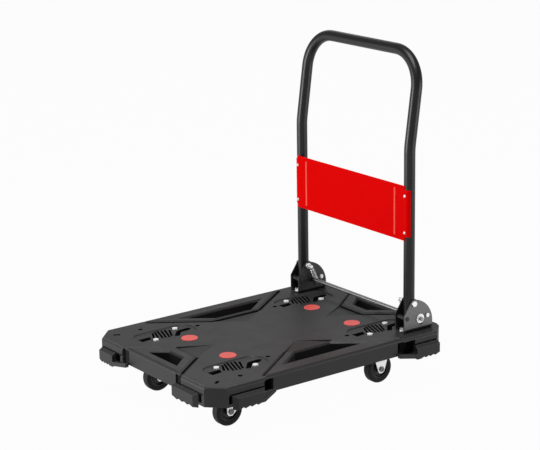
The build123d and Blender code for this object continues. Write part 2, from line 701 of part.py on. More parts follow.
def bumper(length, strut=False, ledge=0.0):
    """Toothed bumper along +Y from the origin, standing out to -X, its low end slanted or over a ledge.

    It may stop short of its high end, where a slanted strut runs on.
    """
    z_low, z_high = top - BUMPER_BOTTOM, top - BUMPER_TOP
    stop = length - STRUT_SETBACK if strut else length
    slant = 0 if ledge else BUMPER_CHAMFER
    profile = [(0, z_low), (-BUMPER_OUT, z_low), (-BUMPER_OUT, z_high - BUMPER_BEVEL), (0, z_high)]
    block = prism_y(profile, (0, stop))
    block &= prism([(0, 0), (-BUMPER_OUT, slant), (-BUMPER_OUT, stop), (0, stop)], (z_low, z_high))
    pitch = (stop - BUMPER_CHAMFER) / TOOTH_COUNT
    for i in range(TOOTH_COUNT):
        y = BUMPER_CHAMFER + i * pitch
        tooth = [(y, z_low - CLEAR), (y + pitch, z_low - CLEAR), (y + pitch, z_low + TOOTH_HEIGHT)]
        block -= Pos(CLEAR, 0, 0) * plate_x(tooth, BUMPER_OUT + 2 * CLEAR)
    if strut:
        near, far = length + STRUT_RUN[0], length + STRUT_RUN[1]
        z_head = top - STRUT_TOP
        lower = [(stop - WALL, z_low), (near, z_low), (far, z_head)]
        upper = [(y, z + STRUT_HEIGHT) for y, z in reversed(lower)]
        block += plate_x(lower + upper, STRUT_OUT)
        block += plate_x(lower + [(far, top - WEB_TOP), (stop - WALL, top - WEB_TOP)], WEB_OUT)
    if ledge:
        lower = [(BUMPER_CHAMFER, z_low), (-ledge, z_low + LEDGE_RISE)]
        upper = [(y, z + LEDGE_HEIGHT) for y, z in reversed(lower)]
        block += plate_x(lower + upper, BUMPER_OUT)
    return block


def bumper_pairs():
    """The two bumpers of each corner, beside their pockets."""
    ends, sides = bumper_spans()
    pairs = {name: [] for name in CORNERS}
    for side, (low, high) in ends.items():
        start = low + CLIP_RUNS[side][1]
        if side == "right":
            shape = bumper(high - start + END_NOTCH_WIDTH)
        else:
            shape = bumper(high - start, ledge=start - low + END_NOTCH_WIDTH)
        block = Pos(-half_l, start, 0) * shape
        pairs["front_" + side].append(block)
        pairs["rear_" + side].append(mirror(block, about=Plane.YZ))
    for end, (low, high) in sides.items():
        start = low + CLIP_RUNS[end][1]
        if end == "front":
            shape = bumper(high - start, strut=True)
        else:
            shape = bumper(high - start, ledge=start - low + NOTCH_WIDTH)
        block = Pos(start, -half_w, 0) * Rot(0, 0, -90) * mirror(shape, about=Plane.YZ)
        pairs[end + "_right"].append(block)
        pairs[end + "_left"].append(mirror(block, about=Plane.XZ))
    return pairs


def place_deck_nodes():
    nodes["deck_moulding"] = deck()
    disc_z = (top - DISC_THICKNESS + DISC_PROUD, top + DISC_PROUD)
    discs = [rod_z(DISC_RADIUS, x, y, disc_z) for x, y in disc_places()]
    nodes["grip_discs"] = group([fillet(d.edges().group_by(Axis.Z)[-1], DISC_ROUND) for d in discs])
    for name, pair in bumper_pairs().items():
        nodes["bumpers_" + name] = group(pair)
    bolts, nuts, screws = [], [], []
    under = CASTER_HEIGHT - CASTER_PLATE
    tail = under - M8[3] - BOLT_TAIL
    seat = top - COUNTERBORE_DEPTH
    for sx, sy in CORNERS.values():
        for x, y in bolt_places(sx, sy):
            bolt = hex_z(M8[1], x, y, (seat + WASHER, seat + WASHER + M8[2]))
            bolt += rod_z(WASHER_RADIUS, x, y, (seat, seat + WASHER))
            bolts.append(bolt + rod_z(M8[0], x, y, (tail, seat + WASHER)))
            nut = hex_z(M8[1], x, y, (under - M8[3], under))
            nuts.append(nut - rod_z(M8[0] + RUNNING, x, y, (tail, under)))
        for x, y in screw_places(sx, sy):
            screw = rod_z(SCREW_RADIUS, x, y, (under, CASTER_HEIGHT + SCREW_LENGTH - CLEAR))
            screws.append(screw + rod_z(SCREW_HEAD_RADIUS, x, y, (under - SCREW_HEAD, under)))
    nodes["caster_bolts"] = group(bolts)
    nodes["caster_nuts"] = group(nuts)
    nodes["caster_screws"] = group(screws)


def caster_plate():
    """Top plate of a caster, centred on the origin in plan."""
    plate = Pos(0, 0, CASTER_HEIGHT - CASTER_PLATE) * extrude(
        RectangleRounded(CASTER_PLATE_LENGTH, CASTER_PLATE_WIDTH, PLATE_CORNER), CASTER_PLATE
    )
    for sx, sy in CORNERS.values():
        plate -= rod_z(M8[0] + HOLE, sx * BOLT_HALF_X, sy * BOLT_HALF_Y, (0, top))
    return plate


def fork_leg(outline, eye_x):
    """One cheek of a fork, with a round eye at the axle, at +Y."""
    leg = prism_y(outline, (fork_inner, fork_outer))
    leg += rod_y(AXLE_EYE_RADIUS, eye_x, axle_z, (fork_inner, fork_outer))
    return leg - rod_y(AXLE_RADIUS + RUNNING, eye_x, axle_z, (0, 2 * fork_outer))


def rigid_fork():
    """Plate and both cheeks in one pressing."""
    under = CASTER_HEIGHT - CASTER_PLATE
    half = [(FORK_TOP, under + CASTER_PLATE / 2), (FORK_WAIST, under - FORK_WAIST_DROP)]
    half.append((FORK_TIP, axle_z - FORK_TIP_DROP))
    leg = fork_leg(half + [(-x, z) for x, z in reversed(half)], 0)
    return caster_plate() + [leg, mirror(leg, about=Plane.XZ)]


def swivel_levels():
    """Underside of the plate, top and underside of the fork's crown."""
    under = CASTER_HEIGHT - CASTER_PLATE
    crown_top = under - BEARING_HEIGHT - CLEAR
    return under, crown_top, crown_top - FORK_SHEET


def swivel_fork():
    """Crown and cheeks of a swivel fork about the origin, wheel trailing to -X."""
    _, crown_top, crown_low = swivel_levels()
    crown = rod_z(CROWN_RADIUS, 0, 0, (crown_low, crown_top))
    rear = -TRAIL - AXLE_EYE_RADIUS
    outline = [(SWIVEL_REACH, crown_top), (-SWIVEL_REACH, crown_top), (rear, crown_low - SWIVEL_REAR_DROP)]
    outline += [(rear, axle_z), (-TRAIL + SWIVEL_TOE, axle_z - SWIVEL_TOE_DROP)]
    outline += [(SWIVEL_REACH, crown_low - SWIVEL_FRONT_DROP)]
    leg = fork_leg(outline, -TRAIL)
    fork = crown + [leg, mirror(leg, about=Plane.XZ)]
    return fork - rod_z(KING_PIN_RADIUS + RUNNING, 0, 0, (0, top))


def swivel_fixed():
    """Plate, bearing ring and king pin of a swivel caster, about the origin."""
    under, crown_top, crown_low = swivel_levels()
    ring = rod_z(BEARING_OUTER, 0, 0, (under - BEARING_HEIGHT, under)) - rod_z(BEARING_INNER, 0, 0, (0, top))
    ring = fillet(ring.edges().group_by(Axis.Z)[0].sort_by(SortBy.LENGTH)[-1], BEARING_ROUND)
    pin = rod_z(KING_PIN_RADIUS, 0, 0, (crown_low - CLEAR, CASTER_HEIGHT))
    pin += rod_z(KING_HEAD_RADIUS, 0, 0, (crown_low - CLEAR - KING_HEAD, crown_low - CLEAR))
    plate = caster_plate() - rod_z(KING_PIN_RADIUS, 0, 0, (0, top))
    return plate, ring, pin


def wheel():
    """Tyre and hub about the Y axis through the origin."""
    radius = WHEEL_DIAMETER / 2
    half = WHEEL_WIDTH / 2
    tyre = rod_y(radius, 0, 0, (-half, half))
    tyre = fillet(tyre.edges().filter_by(GeomType.CIRCLE), TYRE_SHOULDER)
    tyre -= rod_y(TYRE_BORE / 2, 0, 0, (-fork_inner, fork_inner))
    hub_half = HUB_WIDTH / 2
    hub = rod_y(TYRE_BORE / 2, 0, 0, (-hub_half, hub_half))
    for sign in (-1, 1):
        recess = (sign * (hub_half - HUB_RECESS_DEPTH), sign * hub_half)
        hub -= rod_y(HUB_RECESS_OUTER, 0, 0, recess)
        web = sign * (hub_half - HUB_RECESS_DEPTH)
        for i in range(HUB_DOTS):
            angle = 2 * math.pi * i / HUB_DOTS
            x, z = DOT_CIRCLE * math.cos(angle), DOT_CIRCLE * math.sin(angle)
            hub -= rod_y(DOT_RADIUS, x, z, (web - sign * DOT_DEPTH, web))
    boss = fork_inner - HUB_SIDE_GAP
    hub += rod_y(HUB_BOSS_RADIUS, 0, 0, (-boss, boss))
    hub -= rod_y(SLEEVE_RADIUS + RUNNING, 0, 0, (-fork_inner, fork_inner))
    return tyre, hub


def axle():
    """Sleeve, bolt and nut of a wheel about the Y axis through the origin; the bolt's head is at +Y."""
    sleeve = rod_y(SLEEVE_RADIUS, 0, 0, (-fork_inner, fork_inner))
    sleeve -= rod_y(AXLE_RADIUS + RUNNING, 0, 0, (-fork_outer, fork_outer))
    bolt = hex_y(M8[1], 0, 0, (fork_outer, fork_outer + AXLE_HEAD))
    bolt += rod_y(AXLE_RADIUS, 0, 0, (-fork_outer - M8[3] - BOLT_TAIL, fork_outer))
    nut = hex_y(M8[1], 0, 0, (-fork_outer - M8[3], -fork_outer))
    nut -= rod_y(AXLE_RADIUS + RUNNING, 0, 0, (-2 * fork_outer, 0))
    return sleeve, bolt, nut


def place_casters():
    tyre, hub = wheel()
    sleeve, bolt, nut = axle()
    plate, ring, pin = swivel_fixed()
    for name, (sx, sy) in CORNERS.items():
        seat = Pos(sx * caster_x, sy * caster_y, 0)
        swivels = sx < 0
        hub_place = seat * Pos(-TRAIL if swivels else 0, 0, axle_z)
        if swivels:
            nodes["caster_plate_" + name] = seat * plate
            nodes["swivel_ring_" + name] = seat * ring
            nodes["king_pin_" + name] = seat * pin
            nodes["fork_" + name] = seat * swivel_fork()
        else:
            nodes["fork_" + name] = seat * rigid_fork()
        nodes["tyre_" + name] = hub_place * tyre
        nodes["hub_" + name] = hub_place * hub
        nodes["axle_sleeve_" + name] = hub_place * sleeve
        nodes["axle_bolt_" + name] = hub_place * to_corner(bolt, 1, sy)
        nodes["axle_nut_" + name] = hub_place * to_corner(nut, 1, sy)


def bar_direction():
    """Unit vector of the lock bar's travel: down, and back by the slot's lean."""
    lean = math.radians(BAR_SLOPE)
    return math.sin(lean), -math.cos(lean)


def bracket():
    """U channel about the post's line in plan, on the deck top."""
    width = cheek_gap + 2 * CHEEK
    height = CHEEK_TOP[1] + 2 * CHEEK
    reach = CHEEK_BACK - CHEEK_FRONT
    outer = Pos(0, height / 2) * Rectangle(width, height)
    outer = fillet(outer.vertices().group_by(Axis.Y)[0], BEND_OUTER)
    inner = Pos(0, CHEEK + height / 2) * Rectangle(cheek_gap, height)
    inner = fillet(inner.vertices().group_by(Axis.Y)[0], BEND_OUTER - CHEEK)
    section = Plane(origin=(CHEEK_FRONT, 0, 0), x_dir=(0, 1, 0), z_dir=(1, 0, 0)) * (outer - inner)
    channel = extrude(section, reach, dir=(1, 0, 0))
    y = -width
    rise = Line((CHEEK_FRONT, y, 0), (CHEEK_FRONT, y, CHEEK_FRONT_RISE))
    slope = Line((CHEEK_FRONT, y, CHEEK_FRONT_RISE), (CHEEK_SHOULDER[0], y, CHEEK_SHOULDER[1]))
    crest = Line((CHEEK_SHOULDER[0], y, CHEEK_SHOULDER[1]), (CHEEK_TOP[0], y, CHEEK_TOP[1]))
    round_back = ThreePointArc(
        (CHEEK_TOP[0], y, CHEEK_TOP[1]), (CHEEK_ARC[0], y, CHEEK_ARC[1]), (CHEEK_BACK, y, CHEEK_BACK_RISE)
    )
    heel = Line((CHEEK_BACK, y, CHEEK_BACK_RISE), (CHEEK_BACK, y, 0))
    foot = Line((CHEEK_BACK, y, 0), (CHEEK_FRONT, y, 0))
    profile = make_face(Wire([rise, slope, crest, round_back, heel, foot]))
    channel &= extrude(profile, 2 * width, dir=(0, 1, 0))
    cut = (-width, width)
    channel -= rod_y(PIVOT_RADIUS + HOLE, 0, PIVOT_RISE, cut)
    channel -= rod_y(STOP_RADIUS + RUNNING, stop_x, STOP_RISE, cut)
    channel -= rod_y(SPACER_RADIUS + HOLE, SPACER_OFFSET, SPACER_RISE, cut)
    dx, dz = bar_direction()
    middle = BAR_TRAVEL / 2
    slot = SlotCenterToCenter(BAR_TRAVEL, 2 * (BAR_RADIUS + BAR_PLAY), rotation=90 + BAR_SLOPE)
    slot_plane = Plane(
        origin=(BAR_OFFSET + middle * dx, width, BAR_RISE + middle * dz), x_dir=(1, 0, 0), z_dir=(0, -1, 0)
    )
    channel -= extrude(slot_plane * slot, 2 * width, dir=(0, -1, 0))
    for x in BASE_BOLT_OFFSETS:
        channel -= rod_z(M8[0] + HOLE, x, 0, (-CHEEK, 3 * CHEEK))
    return channel


def biarc(p0, t0, p1, t1):
    """Two arcs that leave p0 along t0 and reach p1 along t1."""
    v = p1 - p0
    a = 2 * (t0.dot(t1) - 1)
    b = -2 * v.dot(t0 + t1)
    c = v.dot(v)
    d = (-b - math.sqrt(b * b - 4 * a * c)) / (2 * a)
    corner0 = p0 + t0 * d
    corner1 = p1 - t1 * d
    joint = (corner0 + corner1) / 2
    return [TangentArc(p0, joint, tangent=t0), TangentArc(joint, p1, tangent=corner1 - corner0)]


def spring(sign):
    """Extension spring from the pivot bolt's tail to the lock bar, beside the inner cheek of one bracket."""
    y = spring_y()
    start = Vector(0, y, PIVOT_RISE)
    end = Vector(BAR_OFFSET, y, BAR_RISE)
    axis = (end - start).normalized()
    across = Vector(0, 1, 0)
    third = axis.cross(across)
    first = start + axis * (PIVOT_RADIUS + CLEAR)
    last = end - axis * (BAR_RADIUS + CLEAR)
    length = (last - first).length
    coil_from = SPRING_LEAD + SPRING_LEAD_TURN
    coil = length - 2 * coil_from
    rise = coil / SPRING_TURNS

    def on_coil(turn):
        angle = 2 * math.pi * turn
        place = first + axis * (coil_from + rise * turn)
        place += (across * math.cos(angle) + third * math.sin(angle)) * SPRING_RADIUS
        round_axis = third * math.cos(angle) - across * math.sin(angle)
        return place, (round_axis * 2 * math.pi * SPRING_RADIUS + axis * rise).normalized()

    edges = [Line(first, first + axis * SPRING_LEAD)]
    edges += biarc(first + axis * SPRING_LEAD, axis, *on_coil(0))
    for i in range(2 * SPRING_TURNS):
        edges += biarc(*on_coil(i / 2), *on_coil((i + 1) / 2))
    edges += biarc(*on_coil(SPRING_TURNS), last - axis * SPRING_LEAD, axis)
    edges += [Line(last - axis * SPRING_LEAD, last)]
    path = Wire(edges)
    section = Plane(origin=first, z_dir=axis) * Circle(SPRING_WIRE / 2)
    body = sweep(section, path=path)
    if sign > 0:
        ratio = body.volume / (section.area * path.length)
        print("spring gap", round(self_gap(path), 2), "volume ratio", round(ratio, 3))
    return body


def spring_y():
    """Plane of a spring from the post's line: beside the nut on the inner cheek."""
    return -(cheek_gap / 2 + CHEEK + M8[3] + PIVOT_TAIL / 2 + CLEAR)


def self_gap(path):
    """Least gap of a swept wire to itself, measured on points of its path that are over half a turn apart."""
    count = SPRING_SAMPLES * SPRING_TURNS
    points = [path.position_at(i / count) for i in range(count + 1)]
    step = path.length / count
    apart = int(math.pi * SPRING_RADIUS / step)
    gap = min(
        (points[i] - points[j]).length for i in range(count + 1) for j in range(i + apart, count + 1)
    )
    if gap - SPRING_WIRE <= SPRING_GAP_MIN:
        print("spring turns too close")
    return gap - SPRING_WIRE


def place_brackets():
    outer = cheek_gap / 2 + CHEEK
    base_bolts, base_nuts, pivots, pivot_nuts, stops, sleeves = [], [], [], [], [], []
    spacers, spacer_tubes, spacer_nuts = [], [], []
    channel = bracket()
    for side, sign in SIDES.items():
        place = Pos(post_x, sign * post_y, top)

        def seat(shape):
            return place * to_corner(shape, 1, sign)

        nodes["bracket_" + side] = seat(channel)
        nodes["lock_spring_" + side] = seat(spring(sign))
        for x in BASE_BOLT_OFFSETS:
            bolt = hex_z(M8[1], x, 0, (CHEEK + WASHER, CHEEK + WASHER + M8[2]))
            bolt += rod_z(WASHER_RADIUS, x, 0, (CHEEK, CHEEK + WASHER))
            tail = -PLATE - M8[3] - BOLT_TAIL
            bolt += rod_z(M8[0], x, 0, (tail, CHEEK))
            base_bolts.append(seat(bolt))
            nut = hex_z(M8[1], x, 0, (-PLATE - M8[3], -PLATE)) - rod_z(M8[0] + RUNNING, x, 0, (tail, 0))
            base_nuts.append(seat(nut))
        inner_end = -outer - M8[3] - PIVOT_TAIL
        pivot = hex_y(M8[1], 0, PIVOT_RISE, (outer, outer + M8[2]))
        pivot += rod_y(PIVOT_RADIUS, 0, PIVOT_RISE, (inner_end, outer))
        pivots.append(seat(pivot))
        nut = hex_y(M8[1], 0, PIVOT_RISE, (-outer - M8[3], -outer))
        pivot_nuts.append(seat(nut - rod_y(PIVOT_RADIUS + RUNNING, 0, PIVOT_RISE, (inner_end, outer))))
        stop = rod_y(STOP_RADIUS, stop_x, STOP_RISE, (-outer, outer))
        for s in (-1, 1):
            stop += rod_y(STOP_HEAD_RADIUS, stop_x, STOP_RISE, (s * outer, s * (outer + STOP_HEAD)))
        stops.append(seat(stop))
        inside = cheek_gap / 2 - CLEAR
        sleeve = rod_y(STOP_SLEEVE_RADIUS, stop_x, STOP_RISE, (-inside, inside))
        sleeves.append(seat(sleeve - rod_y(STOP_RADIUS + RUNNING, stop_x, STOP_RISE, (-outer, outer))))
        spacer = hex_y(M6[1], SPACER_OFFSET, SPACER_RISE, (outer, outer + M6[2]))
        spacer += rod_y(SPACER_RADIUS, SPACER_OFFSET, SPACER_RISE, (-outer - M6[3] - BOLT_TAIL, outer))
        spacers.append(seat(spacer))
        tube = rod_y(SPACER_TUBE_RADIUS, SPACER_OFFSET, SPACER_RISE, (-cheek_gap / 2, cheek_gap / 2))
        spacer_hole = rod_y(SPACER_RADIUS + RUNNING, SPACER_OFFSET, SPACER_RISE, (-2 * outer, 2 * outer))
        spacer_tubes.append(seat(tube - spacer_hole))
        spacer_nut = hex_y(M6[1], SPACER_OFFSET, SPACER_RISE, (-outer - M6[3], -outer))
        spacer_nuts.append(seat(spacer_nut - spacer_hole))
    nodes["base_bolts"] = group(base_bolts)
    nodes["base_nuts"] = group(base_nuts)
    nodes["pivot_bolts"] = group(pivots)
    nodes["pivot_nuts"] = group(pivot_nuts)
    nodes["stop_pins"] = group(stops)
    nodes["stop_sleeves"] = group(sleeves)
    nodes["spacer_bolts"] = group(spacers)
    nodes["spacer_tubes"] = group(spacer_tubes)
    nodes["spacer_nuts"] = group(spacer_nuts)


def place_lock_bar():
    x, z = post_x + BAR_OFFSET, top + BAR_RISE
    outer = post_y + cheek_gap / 2 + CHEEK + CLEAR
    end = outer + LOCK_WASHER + LOCK_CLIP + BAR_TAIL
    bar = rod_y(BAR_RADIUS, x, z, (-end, end))
    nodes["lock_bar"] = chamfer(bar.edges().filter_by(GeomType.CIRCLE), BAR_CHAMFER)
    hole = rod_y(BAR_RADIUS + RUNNING, x, z, (-end, end))
    washers, clips = [], []
    for sign in SIDES.values():
        y0, y1, y2 = outer, outer + LOCK_WASHER, outer + LOCK_WASHER + LOCK_CLIP
        washers.append(rod_y(LOCK_WASHER_RADIUS, x, z, (sign * y0, sign * y1)) - hole)
        clips.append(rod_y(LOCK_CLIP_RADIUS, x, z, (sign * y1, sign * y2)) - hole)
    nodes["lock_washers"] = group(washers)
    nodes["lock_clips"] = group(clips)


def swing_radius():
    """Radius about the pivot that the posts' lower ends stay within, so that they pass over the lock bar."""
    return math.hypot(BAR_OFFSET, PIVOT_RISE - BAR_RISE) - BAR_RADIUS - BAR_PLAY


def handle_tube():
    low = top + PIVOT_RISE - swing_radius()
    points = [
        (post_x, -post_y, low),
        (post_x, -post_y, top + BEND_RISE),
        (post_x + TOP_SETBACK, -post_y, top + HANDLE_RISE),
        (post_x + TOP_SETBACK, post_y, top + HANDLE_RISE),
        (post_x, post_y, top + BEND_RISE),
        (post_x, post_y, low),
    ]
    path = FilletPolyline(*points, radius=[BEND_RADIUS, TOP_CORNER_RADIUS, TOP_CORNER_RADIUS, BEND_RADIUS])
    ring = Circle(TUBE_RADIUS) - Circle(TUBE_RADIUS - TUBE_WALL)
    tube = sweep(Plane(origin=points[0], z_dir=(0, 0, 1)) * ring, path=path)
    pivot_z = top + PIVOT_RISE
    for sign in SIDES.values():
        y = (sign * (post_y - 2 * TUBE_RADIUS), sign * (post_y + 2 * TUBE_RADIUS))
        below = box((post_x - 2 * TUBE_RADIUS, post_x + 2 * TUBE_RADIUS), y, (low - TUBE_RADIUS, pivot_z))
        tube -= below - rod_y(swing_radius(), post_x, pivot_z, (2 * y[0], 0))
        tube -= rod_y(BUSH_RADIUS, post_x, pivot_z, y)
        for rise in RIVET_RISES:
            front = Pos(post_x - TUBE_RADIUS, sign * post_y, top + rise) * Rot(0, 90, 0)
            tube -= front * Cylinder(RIVET_SHANK + RUNNING, 2 * TUBE_RADIUS)
    return tube


def tube_plug(sign):
    """Plastic plug in a post's lower end."""
    low = top + PIVOT_RISE - swing_radius()
    radius = TUBE_RADIUS - TUBE_WALL
    plug = rod_z(radius, post_x, sign * post_y, (low, low + PLUG_LENGTH))
    return plug & rod_y(swing_radius(), post_x, top + PIVOT_RISE, (-half_w, half_w))


def panel():
    """Red sheet on the front of the posts, its ends wrapped round their outer sides, with two beads."""
    front = post_x - TUBE_RADIUS - CLEAR
    z = (top + PANEL_LOW, top + PANEL_HIGH)
    sheet = box((front - PANEL_SHEET, front), (-post_y, post_y), z)
    inner = TUBE_RADIUS + CLEAR
    outer = inner + PANEL_SHEET
    tab_z = (z[0] + WRAP_TRIM, z[1] - WRAP_TRIM)
    for sign in SIDES.values():
        ring = rod_z(outer, post_x, sign * post_y, tab_z) - rod_z(inner, post_x, sign * post_y, tab_z)
        reach = 2 * outer
        end = math.radians(PANEL_WRAP)
        wedge = [(post_x, sign * post_y)]
        for turn in (0, end / 2, end):
            wedge.append((post_x - reach * math.cos(turn), sign * (post_y + reach * math.sin(turn))))
        sheet += ring & prism(wedge, tab_z)
        bead_y = sign * (post_y - PANEL_RIB_INBOARD)
        bead = box(
            (front - PANEL_SHEET - PANEL_RIB_PROUD, front - PANEL_SHEET / 2),
            (bead_y - PANEL_RIB_WIDTH / 2, bead_y + PANEL_RIB_WIDTH / 2),
            tab_z,
        )
        outside = bead.edges().filter_by(Axis.Z).group_by(Axis.X)[0]
        sheet += fillet(outside, PANEL_RIB_ROUND)
    for sign in SIDES.values():
        for rise in RIVET_RISES:
            hole = Pos(front, sign * post_y, top + rise) * Rot(0, 90, 0)
            sheet -= hole * Cylinder(RIVET_SHANK + RUNNING, 4 * PANEL_SHEET)
    return sheet


def rivets():
    face = post_x - TUBE_RADIUS - CLEAR - PANEL_SHEET
    inside = post_x - TUBE_RADIUS + TUBE_WALL + RIVET_TAIL
    out = []
    for sign in SIDES.values():
        for rise in RIVET_RISES:
            place = Pos(face, sign * post_y, top + rise) * Rot(0, 90, 0)
            head = Pos(0, 0, -RIVET_PROUD / 2) * Cylinder(RIVET_RADIUS, RIVET_PROUD)
            head = fillet(head.edges().group_by(Axis.Z)[0], RIVET_ROUND)
            shank = Pos(0, 0, (inside - face) / 2) * Cylinder(RIVET_SHANK, inside - face)
            out.append(place * (head + shank))
    return group(out)


def place_handle():
    nodes["handle_tube"] = handle_tube()
    nodes["handle_panel"] = panel()
    nodes["panel_rivets"] = rivets()
    bushes = []
    half = cheek_gap / 2 - CLEAR
    for sign in SIDES.values():
        y = (sign * post_y - half, sign * post_y + half)
        bush = rod_y(BUSH_RADIUS - RUNNING / 2, post_x, top + PIVOT_RISE, y)
        bushes.append(bush - rod_y(PIVOT_RADIUS + RUNNING, post_x, top + PIVOT_RISE, y))
    nodes["pivot_bushes"] = group(bushes)
    nodes["tube_plugs"] = group([tube_plug(sign) for sign in SIDES.values()])


place_deck_nodes()
place_casters()
place_brackets()
place_lock_bar()
place_handle()

os.makedirs("parts", exist_ok=True)
for name, shape in nodes.items():
    export_step(shape, "parts/" + name + ".step")
print(len(nodes), "nodes")
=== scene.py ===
"""Looks of the folding platform trolley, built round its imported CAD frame. Metres, +Z up, floor at zero."""
import math

import bmesh
import bpy
from mathutils import Matrix, Vector


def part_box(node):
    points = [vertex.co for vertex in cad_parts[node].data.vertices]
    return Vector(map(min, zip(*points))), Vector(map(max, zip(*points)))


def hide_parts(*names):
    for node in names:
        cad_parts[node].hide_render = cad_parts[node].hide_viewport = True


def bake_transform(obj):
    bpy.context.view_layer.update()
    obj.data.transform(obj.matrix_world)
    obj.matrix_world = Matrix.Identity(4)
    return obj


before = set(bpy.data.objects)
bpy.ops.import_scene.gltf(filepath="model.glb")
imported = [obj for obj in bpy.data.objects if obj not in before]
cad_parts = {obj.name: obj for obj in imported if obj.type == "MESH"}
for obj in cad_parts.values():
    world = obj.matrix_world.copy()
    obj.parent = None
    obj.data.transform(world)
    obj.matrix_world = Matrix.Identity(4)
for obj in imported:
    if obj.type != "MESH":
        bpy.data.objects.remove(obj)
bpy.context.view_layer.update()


def node_middle(name):
    """Middle of a CAD node's box, in the plane that halves the trolley."""
    low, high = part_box(name)
    return Vector(((low.x + high.x) / 2, 0.0, (low.z + high.z) / 2))


# Places read from the frame
DECK_HALF_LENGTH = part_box("deck_moulding")[1].x
DECK_HALF_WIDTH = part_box("deck_moulding")[1].y
DECK_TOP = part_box("bracket_left")[0].z  # the brackets stand on it
OUTER_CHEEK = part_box("bracket_left")[1].y
PANEL_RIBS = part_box("handle_panel")[0].x  # front of the panel's pressed ribs
PIVOT = node_middle("pivot_bolts")
LOCK_BAR = node_middle("lock_bar")
WHEEL_CORNERS = ("front_left", "front_right", "rear_left", "rear_right")

# The deck's corner blocks and facets
DECK_CHAMFER = 0.0395
DECK_CORNER = DECK_HALF_LENGTH + DECK_HALF_WIDTH - DECK_CHAMFER  # X plus Y along a chamfer
BLOCK_LENGTH = 0.148  # along X
BLOCK_WIDTH = 0.134  # along Y
BLOCK_BORDER = 0.001  # soft border of a block's mask
SEAM_TOP = 0.019  # a block's seam, below the deck's top
SEAM_FOOT = 0.024
SEAM_BORDER = 0.0002
SEAM_SKIN = 0.0008  # painted shade in a seam starts here behind the block's face
SEAM_FULL = 0.0016  # is full here
SEAM_FADE = 0.0035  # starts to fade here
SEAM_END = 0.004  # and ends here
CHAMFER_SKIN = 0.003  # a chamfer stays plain this far in
FACET_ALONG = 0.1  # facets lie within these of the middle planes
FACET_ACROSS = 0.07
FACET_BORDER = 0.002
FACET_SINK = (0.0001, 0.0006)  # below the deck's top, where a facet's painted shade starts and where it is full
SUNK_START = 0.0035  # below the deck's top, where painted shade on the plastic starts
SUNK_FULL = 0.009
STEEP = (0.35, 0.15)  # upward part of a normal, where a wall starts to count and counts in full
WALL_TOP = (-0.0015, -0.0005)  # the same for its depth, which is less than zero above the deck's top
WALL_SHADE = 0.0037  # outer walls keep the plain tone this far in; painted shade starts beyond

# Other borders between two tones
RIB_BORDER = (0.0014, 0.0004)  # behind the front of the panel's ribs
CHEEK_SKIN = (0.0008, 0.0004)  # inside the outer cheeks' outer faces
CHEEK_BEND = (0.008, 0.010)  # above the deck's top

# Heights of fine bumps, and how far the roughness varies either way
PLASTIC_GRAIN = 0.00005
PLASTIC_UNEVEN = 0.08
PAINT_PEEL = 0.00006
PAINT_UNEVEN = 0.05
PLATE_GRAIN = 0.00002
PLATE_DULLER = 0.1
PLATE_BRIGHTER = 0.06
TYRE_RING_HEIGHT = 0.0001
TYRE_RING_PITCH = 0.0032
TYRE_RING_SHARE = 0.8  # of the rings beside the grain
TYRE_ROUGHNESS = (0.72, 0.55)

# Camera, from the middle of the deck's top
CAMERA_AZIMUTH = math.radians(-36.4262)
CAMERA_ELEVATION = math.radians(15.4402)
CAMERA_ROLL = -0.016
CAMERA_DISTANCE = 4.5003
CAMERA_RIGHT = -0.0040
CAMERA_UP = 0.2636
CAMERA_LENS = 120.0  # millimetres, as is the sensor
SENSOR = 36.0

# Studio
FLOOR_HALF = 30.0
FLOOR_WHITE = 0.97  # share of plain white that the camera and reflections see
WORLD_STRENGTH = 0.3
HANDLE_AIM = (0.0, 0.0, 0.4)
DECK_AIM = (0.0, 0.0, 0.1)

# Lock springs
SPRING_PLANE = 0.183  # each spring's middle from the trolley's middle plane
SPRING_WIRE = 0.0014
SPRING_RADIUS = 0.0058  # to the middle of the wire, in the coil and in both hooks
SPRING_TURNS = 10
SPRING_BEND = 0.0016  # where the wire turns out of the coil into a hook
HOOK_SWEEP = math.radians(250.0)
WIRE_SIDES = 10
TURN_STEPS = 24
BEND_STEPS = 6
HOOK_STEPS = 30
MERGE_DISTANCE = 0.00002


def new_material(name):
    """A material with its node tree and its shader."""
    material = bpy.data.materials.new(name)
    material.use_nodes = True
    return material, material.node_tree, material.node_tree.nodes["Principled BSDF"]


def add(tree, kind, **values):
    """A node of a tree, with its properties and unlinked inputs set by name."""
    node = tree.nodes.new(kind)
    for name, value in values.items():
        if hasattr(node, name):
            setattr(node, name, value)
        else:
            node.inputs[name.replace("_", " ")].default_value = value
    return node


def feed(tree, socket, value):
    """Sets an input from another node's socket or from a plain value."""
    if isinstance(value, bpy.types.NodeSocket):
        tree.links.new(value, socket)
    else:
        socket.default_value = value


def source_of(socket):
    """The socket that feeds an input."""
    return socket.links[0].from_socket


def calculate(tree, operation, *values, clamp=False):
    """Result of a sum on sockets and plain numbers."""
    node = add(tree, "ShaderNodeMath", operation=operation, use_clamp=clamp)
    for socket, value in zip(node.inputs, values):
        feed(tree, socket, value)
    return node.outputs[0]


def product(tree, first, *others):
    """Several masks multiplied."""
    for other in others:
        first = calculate(tree, "MULTIPLY", first, other)
    return first


def ramp(tree, value, zero, one):
    """0 where the value is at the first number, 1 where it is at the second."""
    spread = add(tree, "ShaderNodeMapRange")
    feed(tree, spread.inputs["Value"], value)
    feed(tree, spread.inputs["From Min"], zero)
    feed(tree, spread.inputs["From Max"], one)
    return spread.outputs["Result"]


def remap(tree, value, low, high):
    """A value from 0 to 1 stretched between two numbers."""
    spread = add(tree, "ShaderNodeMapRange", To_Min=low, To_Max=high)
    feed(tree, spread.inputs["Value"], value)
    return spread.outputs["Result"]


